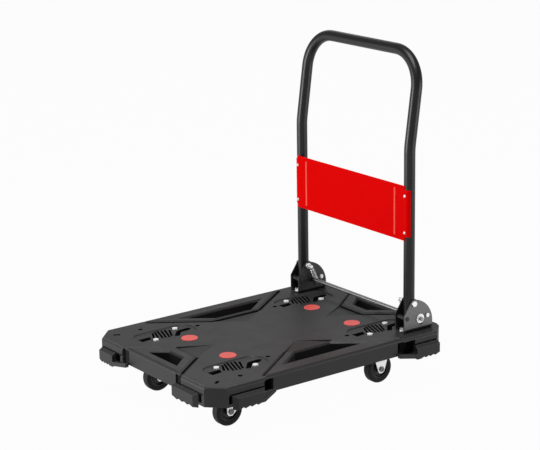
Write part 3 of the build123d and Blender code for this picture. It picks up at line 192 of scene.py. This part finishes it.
def blend_colours(tree, share, first, second):
    """First colour where the share is 0, second where it is 1; either may be a socket."""
    mix = add(tree, "ShaderNodeMix", data_type="RGBA")
    feed(tree, mix.inputs["Factor"], share)
    for socket, colour in ((mix.inputs[6], first), (mix.inputs[7], second)):
        feed(tree, socket, colour if isinstance(colour, bpy.types.NodeSocket) else (*colour, 1.0))
    return mix.outputs[2]


def shaded(tone, share):
    """A tone made darker or brighter, no brighter than white."""
    return tuple(min(1.0, share * part) for part in tone)


def split_axes(tree, vector, mirrored):
    """X, Y and Z of a vector, without their signs if mirrored, so that all corners share one pattern."""
    if mirrored:
        size = add(tree, "ShaderNodeVectorMath", operation="ABSOLUTE")
        feed(tree, size.inputs[0], vector)
        vector = size.outputs["Vector"]
    split = add(tree, "ShaderNodeSeparateXYZ")
    feed(tree, split.inputs["Vector"], vector)
    return split.outputs["X"], split.outputs["Y"], split.outputs["Z"]


def new_group(name, inputs, outputs):
    """A shader node group with number inputs and the given outputs, and its two end nodes."""
    group = bpy.data.node_groups.new(name, "ShaderNodeTree")
    for socket in inputs:
        group.interface.new_socket(socket, in_out="INPUT", socket_type="NodeSocketFloat")
    for socket, kind in outputs.items():
        group.interface.new_socket(socket, in_out="OUTPUT", socket_type=kind)
    return group, group.nodes.new("NodeGroupInput"), group.nodes.new("NodeGroupOutput")


def place_group(tree, group, **values):
    """A group node in a material, with its own values."""
    node = tree.nodes.new("ShaderNodeGroup")
    node.node_tree = group
    for name, value in values.items():
        node.inputs[name.replace("_", " ")].default_value = value
    return node


def fine_grain():
    """Moulded or sprayed grain: a height for bump, and broad soft patches for tone and roughness."""
    group, given, made = new_group(
        "fine_grain",
        ("Grains per metre", "Patches per metre"),
        {"Height": "NodeSocketFloat", "Patch": "NodeSocketFloat"},
    )
    place = add(group, "ShaderNodeTexCoord").outputs["Object"]
    grains = add(group, "ShaderNodeTexNoise", Detail=3.0, Roughness=0.55)
    patches = add(group, "ShaderNodeTexNoise", Detail=4.0, Roughness=0.6)
    for texture, scale, output in (
        (grains, "Grains per metre", "Height"),
        (patches, "Patches per metre", "Patch"),
    ):
        feed(group, texture.inputs["Vector"], place)
        feed(group, texture.inputs["Scale"], given.outputs[scale])
        feed(group, made.inputs[output], texture.outputs["Fac"])
    return group


def rounded_edge():
    """Shading normal with edges rounded off, and a mask of those edges."""
    group, given, made = new_group(
        "rounded_edge",
        ("Radius", "Sharpness"),
        {"Normal": "NodeSocketVector", "Edge": "NodeSocketFloat"},
    )
    bevel = group.nodes.new("ShaderNodeBevel")
    bevel.samples = 6
    feed(group, bevel.inputs["Radius"], given.outputs["Radius"])
    same = add(group, "ShaderNodeVectorMath", operation="DOT_PRODUCT")
    feed(group, same.inputs[0], bevel.outputs["Normal"])
    feed(group, same.inputs[1], add(group, "ShaderNodeNewGeometry").outputs["Normal"])
    turned = calculate(group, "SUBTRACT", 1.0, same.outputs["Value"])
    edge = calculate(group, "MULTIPLY", turned, given.outputs["Sharpness"], clamp=True)
    feed(group, made.inputs["Normal"], bevel.outputs["Normal"])
    feed(group, made.inputs["Edge"], edge)
    return group


def block_seam(tree, along_x, along_y, across, depth):
    """Mask of painted shade in the seam round the deck's corner blocks, in a thin layer behind their faces.
    """
    layers = []
    for along, half, beside, block in (
        (along_x, DECK_HALF_LENGTH, along_y, DECK_HALF_WIDTH - BLOCK_WIDTH),
        (along_y, DECK_HALF_WIDTH, along_x, DECK_HALF_LENGTH - BLOCK_LENGTH),
    ):
        behind = ramp(tree, along, half - SEAM_SKIN, half - SEAM_FULL)
        before = ramp(tree, along, half - SEAM_END, half - SEAM_FADE)
        on_block = ramp(tree, beside, block, block + BLOCK_BORDER)
        layers.append(product(tree, behind, before, on_block))
    off_chamfer = ramp(tree, across, DECK_CORNER - CHAMFER_SKIN, DECK_CORNER - SEAM_FADE)
    below = ramp(tree, depth, SEAM_TOP - SEAM_BORDER, SEAM_TOP)
    above = ramp(tree, depth, SEAM_FOOT, SEAM_FOOT - SEAM_BORDER)
    return product(tree, calculate(tree, "MAXIMUM", *layers), off_chamfer, below, above)


def painted_shade_places():
    """Masks of the deck where shade is painted: one in its slots, pockets, holes, grooves and seams, one on
    its sloped facets.
    """
    group, given, made = new_group(
        "painted_shade_places",
        ("Start", "Full"),
        {"Sunk": "NodeSocketFloat", "Facet_shade": "NodeSocketFloat"},
    )
    place = add(group, "ShaderNodeTexCoord").outputs["Object"]
    along_x, along_y, height = split_axes(group, place, mirrored=True)
    facing = add(group, "ShaderNodeNewGeometry").outputs["True Normal"]
    upward = split_axes(group, facing, mirrored=True)[2]
    depth = calculate(group, "SUBTRACT", DECK_TOP, height)
    across = calculate(group, "ADD", along_x, along_y)

    def within(value, limit):
        return ramp(group, value, limit - WALL_SHADE, limit - 3 * WALL_SHADE)

    inside = product(
        group,
        within(along_x, DECK_HALF_LENGTH),
        within(along_y, DECK_HALF_WIDTH),
        within(across, DECK_CORNER),
    )
    wall = product(group, ramp(group, upward, *STEEP), ramp(group, depth, *WALL_TOP))
    deep = ramp(group, depth, given.outputs["Start"], given.outputs["Full"])
    hollow = product(group, inside, calculate(group, "MAXIMUM", deep, wall))
    seam = block_seam(group, along_x, along_y, across, depth)
    feed(group, made.inputs["Sunk"], calculate(group, "MAXIMUM", hollow, seam))
    beside_x = ramp(group, along_x, FACET_ALONG + FACET_BORDER, FACET_ALONG)
    beside_y = ramp(group, along_y, FACET_ACROSS + FACET_BORDER, FACET_ACROSS)
    facet = calculate(group, "MAXIMUM", beside_x, beside_y)
    feed(group, made.inputs["Facet_shade"], product(group, inside, facet, ramp(group, depth, *FACET_SINK)))
    return group


GRAIN = fine_grain()
EDGE = rounded_edge()
PAINTED_SHADE_GROUP = painted_shade_places()


def bumped(tree, shader, height, normal, distance):
    """Grain height on top of the rounded edges."""
    bump = add(tree, "ShaderNodeBump", Strength=1.0, Distance=distance)
    feed(tree, bump.inputs["Height"], height)
    feed(tree, bump.inputs["Normal"], normal)
    feed(tree, shader.inputs["Normal"], bump.outputs["Normal"])


def moulded_plastic(name, tone, edge_wear_and_light_tone, roughness, specular=0.35, round_edge=0.0012):
    """Moulded plastic with a fine grain, broad uneven gloss, and an edge tone on rounded edges that stands
    for wear and for painted light: a painted highlight where it is paler, painted shade where it is darker.
    """
    material, tree, shader = new_material(name)
    shader.inputs["Specular IOR Level"].default_value = specular
    grain = place_group(tree, GRAIN, Grains_per_metre=1500.0, Patches_per_metre=14.0)
    edge = place_group(tree, EDGE, Radius=round_edge, Sharpness=2.2)
    patch = grain.outputs["Patch"]
    mottled = blend_colours(tree, patch, shaded(tone, 0.82), tone)
    # edge tone: wear, and painted light on the rounded edges
    edge_wear_and_light = blend_colours(tree, edge.outputs["Edge"], mottled, edge_wear_and_light_tone)
    uneven = remap(tree, patch, roughness + PLASTIC_UNEVEN, roughness - PLASTIC_UNEVEN)
    feed(tree, shader.inputs["Base Color"], edge_wear_and_light)
    feed(tree, shader.inputs["Roughness"], uneven)
    bumped(tree, shader, grain.outputs["Height"], edge.outputs["Normal"], PLASTIC_GRAIN)
    return material


def deck_plastic(tone, edge_wear_and_light_tone, painted_facet_shade_tone, painted_shade_tone, roughness):
    """Moulded plastic with painted shade: darker on the sloped facets, and dull and nearly black in slots and
    grooves, where shade falls.
    """
    material = moulded_plastic("deck_plastic", tone, edge_wear_and_light_tone, roughness, specular=0.25, round_edge=0.002)
    tree = material.node_tree
    shader = tree.nodes["Principled BSDF"]
    shade_masks = place_group(tree, PAINTED_SHADE_GROUP, Start=SUNK_START, Full=SUNK_FULL)
    plain = source_of(shader.inputs["Base Color"])
    # painted shade on the sloped facets, darker as if from their slant to the light
    low = blend_colours(tree, shade_masks.outputs["Facet_shade"], plain, painted_facet_shade_tone)
    uneven = source_of(shader.inputs["Roughness"])
    dull = calculate(tree, "ADD", uneven, shade_masks.outputs["Sunk"], clamp=True)
    # painted shade: nearly black in slots, pockets, holes, grooves and seams
    feed(tree, shader.inputs["Base Color"], blend_colours(tree, shade_masks.outputs["Sunk"], low, painted_shade_tone))
    feed(tree, shader.inputs["Roughness"], dull)
    return material


def powder_coat(name, tone, thin_paint_and_highlight_tone, roughness, specular):
    """Sprayed and baked paint with a slight orange peel, paler on rounded edges as thinner paint and as a
    painted highlight.
    """
    material, tree, shader = new_material(name)
    shader.inputs["Specular IOR Level"].default_value = specular
    grain = place_group(tree, GRAIN, Grains_per_metre=700.0, Patches_per_metre=9.0)
    edge = place_group(tree, EDGE, Radius=0.0008, Sharpness=1.5)
    patch = grain.outputs["Patch"]
    sprayed = blend_colours(tree, patch, shaded(tone, 0.9), tone)
    # paler edges: thinner paint, and a painted highlight
    thinned_and_lit = blend_colours(tree, edge.outputs["Edge"], sprayed, thin_paint_and_highlight_tone)
    uneven = remap(tree, patch, roughness + PAINT_UNEVEN, roughness - PAINT_UNEVEN)
    feed(tree, shader.inputs["Base Color"], thinned_and_lit)
    feed(tree, shader.inputs["Roughness"], uneven)
    bumped(tree, shader, grain.outputs["Height"], edge.outputs["Normal"], PAINT_PEEL)
    return material


def panel_paint(tone, painted_highlight_tone):
    """Red paint with a painted highlight: paler on the pressed ribs that stand proud of the panel."""
    material = powder_coat("red_panel_paint", tone, painted_highlight_tone, roughness=0.4, specular=0.02)
    tree = material.node_tree
    shader = tree.nodes["Principled BSDF"]
    place = add(tree, "ShaderNodeTexCoord").outputs["Object"]
    forward = split_axes(tree, place, mirrored=False)[0]
    # painted highlight on the ribs
    rib_highlight = ramp(tree, forward, PANEL_RIBS + RIB_BORDER[0], PANEL_RIBS + RIB_BORDER[1])
    sprayed = source_of(shader.inputs["Base Color"])
    feed(tree, shader.inputs["Base Color"], blend_colours(tree, rib_highlight, sprayed, painted_highlight_tone))
    return material


def plated_steel(name, tone, roughness, metal=1.0):
    """Zinc-plated steel: cloudy spangle in tone and gloss, with bright rounded edges."""
    material, tree, shader = new_material(name)
    shader.inputs["Metallic"].default_value = metal
    grain = place_group(tree, GRAIN, Grains_per_metre=2600.0, Patches_per_metre=160.0)
    edge = place_group(tree, EDGE, Radius=0.0006, Sharpness=1.8)
    patch = grain.outputs["Patch"]
    spangled = blend_colours(tree, patch, shaded(tone, 0.86), tone)
    bright = blend_colours(tree, edge.outputs["Edge"], spangled, shaded(tone, 1.15))
    uneven = remap(tree, patch, roughness + PLATE_DULLER, roughness - PLATE_BRIGHTER)
    feed(tree, shader.inputs["Base Color"], bright)
    feed(tree, shader.inputs["Roughness"], uneven)
    bumped(tree, shader, grain.outputs["Height"], edge.outputs["Normal"], PLATE_GRAIN)
    return material


def two_tone_steel(zinc, black):
    """Bracket sheet: zinc plate on the outer cheeks above their bend, black paint on the rest."""
    material = plated_steel("bracket_steel", zinc, roughness=0.45)
    tree = material.node_tree
    shader = tree.nodes["Principled BSDF"]
    place = add(tree, "ShaderNodeTexCoord").outputs["Object"]
    along_y, height = split_axes(tree, place, mirrored=True)[1:]
    outer = ramp(tree, along_y, OUTER_CHEEK - CHEEK_SKIN[0], OUTER_CHEEK - CHEEK_SKIN[1])
    above = ramp(tree, height, DECK_TOP + CHEEK_BEND[0], DECK_TOP + CHEEK_BEND[1])
    bare = product(tree, outer, above)
    plated = source_of(shader.inputs["Base Color"])
    feed(tree, shader.inputs["Base Color"], blend_colours(tree, bare, black, plated))
    feed(tree, shader.inputs["Metallic"], bare)
    return material


def wheel_rubber(corner, tone, dusty_tone, edge_wear_and_light_tone):
    """Tyre rubber with fine moulded rings about its own axle, faint dusty patches, and paler edges that stand
    for wear and for a painted highlight.
    """
    material, tree, shader = new_material("tyre_rubber_" + corner)
    shader.inputs["Specular IOR Level"].default_value = 0.2
    low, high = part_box("tyre_" + corner)
    centred = add(tree, "ShaderNodeMapping", Location=-(low + high) / 2)
    flat = add(tree, "ShaderNodeVectorMath", operation="MULTIPLY")
    flat.inputs[1].default_value = (1.0, 0.0, 1.0)
    radius = add(tree, "ShaderNodeVectorMath", operation="LENGTH")
    feed(tree, centred.inputs["Vector"], add(tree, "ShaderNodeTexCoord").outputs["Object"])
    feed(tree, flat.inputs[0], centred.outputs["Vector"])
    feed(tree, radius.inputs[0], flat.outputs["Vector"])
    turn = calculate(tree, "MULTIPLY", radius.outputs["Value"], 2.0 * math.pi / TYRE_RING_PITCH)
    rings = calculate(tree, "SINE", turn)
    grain = place_group(tree, GRAIN, Grains_per_metre=1100.0, Patches_per_metre=60.0)
    edge = place_group(tree, EDGE, Radius=0.001, Sharpness=1.2)
    height = calculate(tree, "MULTIPLY_ADD", rings, TYRE_RING_SHARE, grain.outputs["Height"])
    dusty = blend_colours(tree, grain.outputs["Patch"], tone, dusty_tone)
    # paler edges: wear, and a painted highlight
    edge_wear_and_light = blend_colours(tree, edge.outputs["Edge"], dusty, edge_wear_and_light_tone)
    feed(tree, shader.inputs["Base Color"], edge_wear_and_light)
    feed(tree, shader.inputs["Roughness"], remap(tree, grain.outputs["Patch"], *TYRE_ROUGHNESS))
    bumped(tree, shader, height, edge.outputs["Normal"], TYRE_RING_HEIGHT)
    return material


def dress(prefixes, material):
    """Gives a finish to the CAD nodes whose names start so."""
    for name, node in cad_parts.items():
        if name.startswith(prefixes):
            node.data.materials.clear()
            node.data.materials.append(material)


def dress_plastic():
    """Finishes of the deck, the discs, the hubs, the small fittings and the tyres."""
    deck = deck_plastic(
        tone=(0.026, 0.026, 0.0275),
        # pale edge tone: a painted highlight on the deck's edges, and edge wear
        edge_wear_and_light_tone=(0.15, 0.15, 0.152),
        # darker painted shade for the sloped facets
        painted_facet_shade_tone=(0.014, 0.014, 0.0145),
        # nearly black painted shade for slots, pockets, grooves and seams
        painted_shade_tone=(0.002, 0.002, 0.002),
        roughness=0.45,
    )
    # darker edge tone: painted shade on the discs' rims
    discs = moulded_plastic("red_disc_plastic", (0.7, 0.09, 0.078), (0.36, 0.015, 0.012), 0.35, specular=0.3)
    # paler edge tones: wear, and a painted highlight on the edges
    hubs = moulded_plastic("hub_plastic", (0.012, 0.012, 0.013), (0.05, 0.05, 0.05), 0.42)
    fittings = moulded_plastic("black_fitting_plastic", (0.012, 0.012, 0.012), (0.04, 0.04, 0.04), 0.45)
    dress(("deck_moulding", "bumpers"), deck)
    dress(("grip_discs",), discs)
    dress(("hub_",), hubs)
    dress(("pivot_bushes", "tube_plugs", "stop_sleeves"), fittings)
    for corner in WHEEL_CORNERS:
        rubber = wheel_rubber(
            corner,
            tone=(0.01, 0.01, 0.0105),
            dusty_tone=(0.02, 0.02, 0.0205),
            edge_wear_and_light_tone=(0.05, 0.05, 0.051),
        )
        dress(("tyre_" + corner,), rubber)


def dress_metal():
    """Finishes of the handle, the brackets, the lock bar, the casters and the fasteners."""
    # each coat's second tone is for its rounded edges: thinner paint, and a painted highlight
    tube = powder_coat("black_powder_coat", (0.006, 0.006, 0.0065), (0.018, 0.018, 0.018), 0.36, 0.33)
    pins = powder_coat("black_steel", (0.012, 0.012, 0.012), (0.025, 0.025, 0.025), 0.45, 0.5)
    dress(("handle_tube",), tube)
    # pale tone: a painted highlight on the panel's ribs and edges
    dress(("handle_panel",), panel_paint(tone=(0.72, 0.0, 0.0), painted_highlight_tone=(0.85, 0.1, 0.07)))
    dress(("bracket",), two_tone_steel(zinc=(0.155, 0.155, 0.156), black=(0.006, 0.006, 0.006)))
    dress(("stop_pins",), pins)
    dress(("panel_rivets",), plated_steel("rivet_zinc", (0.62, 0.52, 0.51), 0.4, metal=0.85))
    dress(("lock_bar",), plated_steel("bar_steel", (0.33, 0.33, 0.335), 0.4))
    dress(("axle_bolt", "axle_nut"), plated_steel("axle_steel", (0.14, 0.14, 0.142), 0.4))
    # caster bolt heads: partly zinc's own pale colour, partly a painted glint, near white and mostly
    # unmetallic
    dress(("caster_bolts", "caster_nuts"), plated_steel("zinc_with_painted_glint", (0.9, 0.9, 0.9), 0.35, metal=0.3))
    dress(
        (
            "base_bolts", "base_nuts", "pivot_bolts", "pivot_nuts", "spacer_", "lock_washers",
            "lock_clips", "caster_plate", "caster_screws", "swivel_ring", "king_pin", "fork", "axle_sleeve",
        ),
        plated_steel("zinc_plate", (0.86, 0.86, 0.87), 0.4, metal=0.85),
    )


def of_kind(geometry, kind):
    """The vertices or the edges of what an operator gives back."""
    return [part for part in geometry if isinstance(part, kind)]


def swept(bm, outline, centre, about, angle, count, shift=Vector()):
    """Sweeps an outline of vertices and edges round an axis and gives back its last place."""
    grown = bmesh.ops.spin(
        bm, geom=outline, cent=centre, axis=about, dvec=shift, angle=angle, steps=count, use_merge=False
    )
    return of_kind(grown["geom_last"], (bmesh.types.BMVert, bmesh.types.BMEdge))


def lock_spring(side, sign, finish):
    """Extension spring between a pivot bolt's tail and the lock bar, with an open hook round each."""
    middle = Vector((0.0, sign * SPRING_PLANE, 0.0))
    top, foot = PIVOT + middle, LOCK_BAR + middle
    axis = (foot - top).normalized()
    across = Vector((0.0, 1.0, 0.0))
    outward = axis.cross(across)
    coil_from = SPRING_RADIUS + SPRING_BEND
    rise = (foot - top).length - 2 * coil_from
    steps = TURN_STEPS * SPRING_TURNS

    bm = bmesh.new()
    ring = bmesh.ops.create_circle(bm, radius=SPRING_WIRE / 2, segments=WIRE_SIDES)["verts"]
    facing = Matrix((outward, axis, across)).transposed().to_4x4()
    bmesh.ops.transform(bm, matrix=facing, verts=ring)
    bmesh.ops.translate(bm, vec=top + axis * coil_from + outward * SPRING_RADIUS, verts=ring)
    start = [*ring, *{edge for vert in ring for edge in vert.link_edges}]
    coil_end = swept(bm, start, top, axis, 2 * math.pi * SPRING_TURNS, steps, axis * rise / steps)
    for outline, hold, way in ((start, top, -1.0), (coil_end, foot, 1.0)):
        bend = hold - axis * way * SPRING_RADIUS + outward * SPRING_RADIUS
        turned = swept(bm, outline, bend, outward, math.pi / 2, BEND_STEPS)
        straight = bmesh.ops.extrude_edge_only(bm, edges=of_kind(turned, bmesh.types.BMEdge))
        moved = of_kind(straight["geom"], (bmesh.types.BMVert, bmesh.types.BMEdge))
        verts = of_kind(moved, bmesh.types.BMVert)
        bmesh.ops.translate(bm, vec=axis * way * SPRING_RADIUS, verts=verts)
        last = swept(bm, moved, hold, across, -way * HOOK_SWEEP, HOOK_STEPS)
        bmesh.ops.contextual_create(bm, geom=of_kind(last, bmesh.types.BMEdge))
    bmesh.ops.remove_doubles(bm, verts=bm.verts, dist=MERGE_DISTANCE)
    bmesh.ops.recalc_face_normals(bm, faces=bm.faces)
    for face in bm.faces:
        face.smooth = True
    mesh = bpy.data.meshes.new("spring_coil_" + side)
    bm.to_mesh(mesh)
    bm.free()
    mesh.materials.append(finish)
    spring = bpy.data.objects.new("spring_coil_" + side, mesh)
    bpy.context.collection.objects.link(spring)
    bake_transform(spring)
    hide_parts("lock_spring_" + side)


def white_floor():
    """Grey in the light, so that it keeps a faint shadow, and white to the camera and in reflections."""
    material, tree, shader = new_material("white_floor")
    shader.inputs["Base Color"].default_value = (0.22, 0.22, 0.22, 1.0)
    shader.inputs["Roughness"].default_value = 0.9
    shader.inputs["Specular IOR Level"].default_value = 0.0
    glow = add(tree, "ShaderNodeEmission", Strength=1.0)
    path = add(tree, "ShaderNodeLightPath").outputs
    seen = calculate(tree, "ADD", path["Is Camera Ray"], path["Is Glossy Ray"], clamp=True)
    seen = calculate(tree, "ADD", seen, path["Is Transmission Ray"], clamp=True)
    mix = add(tree, "ShaderNodeMixShader")
    feed(tree, mix.inputs["Fac"], calculate(tree, "MULTIPLY", seen, FLOOR_WHITE))
    feed(tree, mix.inputs[1], shader.outputs["BSDF"])
    feed(tree, mix.inputs[2], glow.outputs["Emission"])
    feed(tree, tree.nodes["Material Output"].inputs["Surface"], mix.outputs["Shader"])
    return material


def studio_floor():
    """Large flat floor under the wheels."""
    bm = bmesh.new()
    bmesh.ops.create_grid(bm, x_segments=1, y_segments=1, size=FLOOR_HALF)
    mesh = bpy.data.meshes.new("studio_floor")
    bm.to_mesh(mesh)
    bm.free()
    mesh.materials.append(white_floor())
    floor = bpy.data.objects.new("studio_floor", mesh)
    bpy.context.collection.objects.link(floor)


def soft_box(name, place, aim, width, height, power):
    """Rectangular studio lamp that points at a place."""
    lamp = bpy.data.lights.new(name, "AREA")
    lamp.shape = "RECTANGLE"
    lamp.size = width
    lamp.size_y = height
    lamp.energy = power
    box = bpy.data.objects.new(name, lamp)
    box.location = place
    box.rotation_euler = (Vector(aim) - Vector(place)).to_track_quat("-Z", "Y").to_euler()
    bpy.context.collection.objects.link(box)


def studio_light():
    """Pale surroundings, a box beyond the deck's front end, one beside the handle, one above, one behind."""
    world = bpy.data.worlds.new("pale_studio")
    world.use_nodes = True
    background = world.node_tree.nodes["Background"]
    background.inputs["Color"].default_value = (1.0, 1.0, 1.0, 1.0)
    background.inputs["Strength"].default_value = WORLD_STRENGTH
    bpy.context.scene.world = world
    soft_box("left_box", (-2.4, 1.0, 0.55), HANDLE_AIM, width=0.8, height=1.0, power=55.0)
    soft_box("right_box", (1.7, -2.3, 0.55), HANDLE_AIM, width=0.7, height=1.0, power=18.0)
    soft_box("top_box", (-0.45, -0.6, 3.1), DECK_AIM, width=1.7, height=1.7, power=72.0)
    soft_box("back_box", (1.7, 2.3, 2.0), DECK_AIM, width=1.8, height=1.0, power=7.0)


def photo_camera():
    """Camera at the photograph's viewing angle."""
    right = Vector((math.cos(CAMERA_AZIMUTH), math.sin(CAMERA_AZIMUTH), 0.0))
    level = Vector((math.sin(CAMERA_AZIMUTH), -math.cos(CAMERA_AZIMUTH), 0.0))
    back = level * math.cos(CAMERA_ELEVATION) + Vector((0.0, 0.0, math.sin(CAMERA_ELEVATION)))
    right = Matrix.Rotation(CAMERA_ROLL, 3, back) @ right
    up = back.cross(right)
    lens = bpy.data.cameras.new("photo_camera")
    lens.lens = CAMERA_LENS
    lens.sensor_width = SENSOR
    camera = bpy.data.objects.new("photo_camera", lens)
    place = right * CAMERA_RIGHT + up * CAMERA_UP + back * CAMERA_DISTANCE + Vector((0.0, 0.0, DECK_TOP))
    axes = Matrix((right, up, back)).transposed().to_4x4()
    camera.matrix_world = Matrix.Translation(place) @ axes
    bpy.context.collection.objects.link(camera)
    bpy.context.scene.camera = camera


bpy.context.scene.view_settings.view_transform = "Standard"
photo_camera()
studio_floor()
studio_light()
dress_plastic()
dress_metal()
spring_finish = plated_steel("spring_wire", (0.66, 0.66, 0.67), 0.3)
lock_spring("left", 1.0, spring_finish)
lock_spring("right", -1.0, spring_finish)
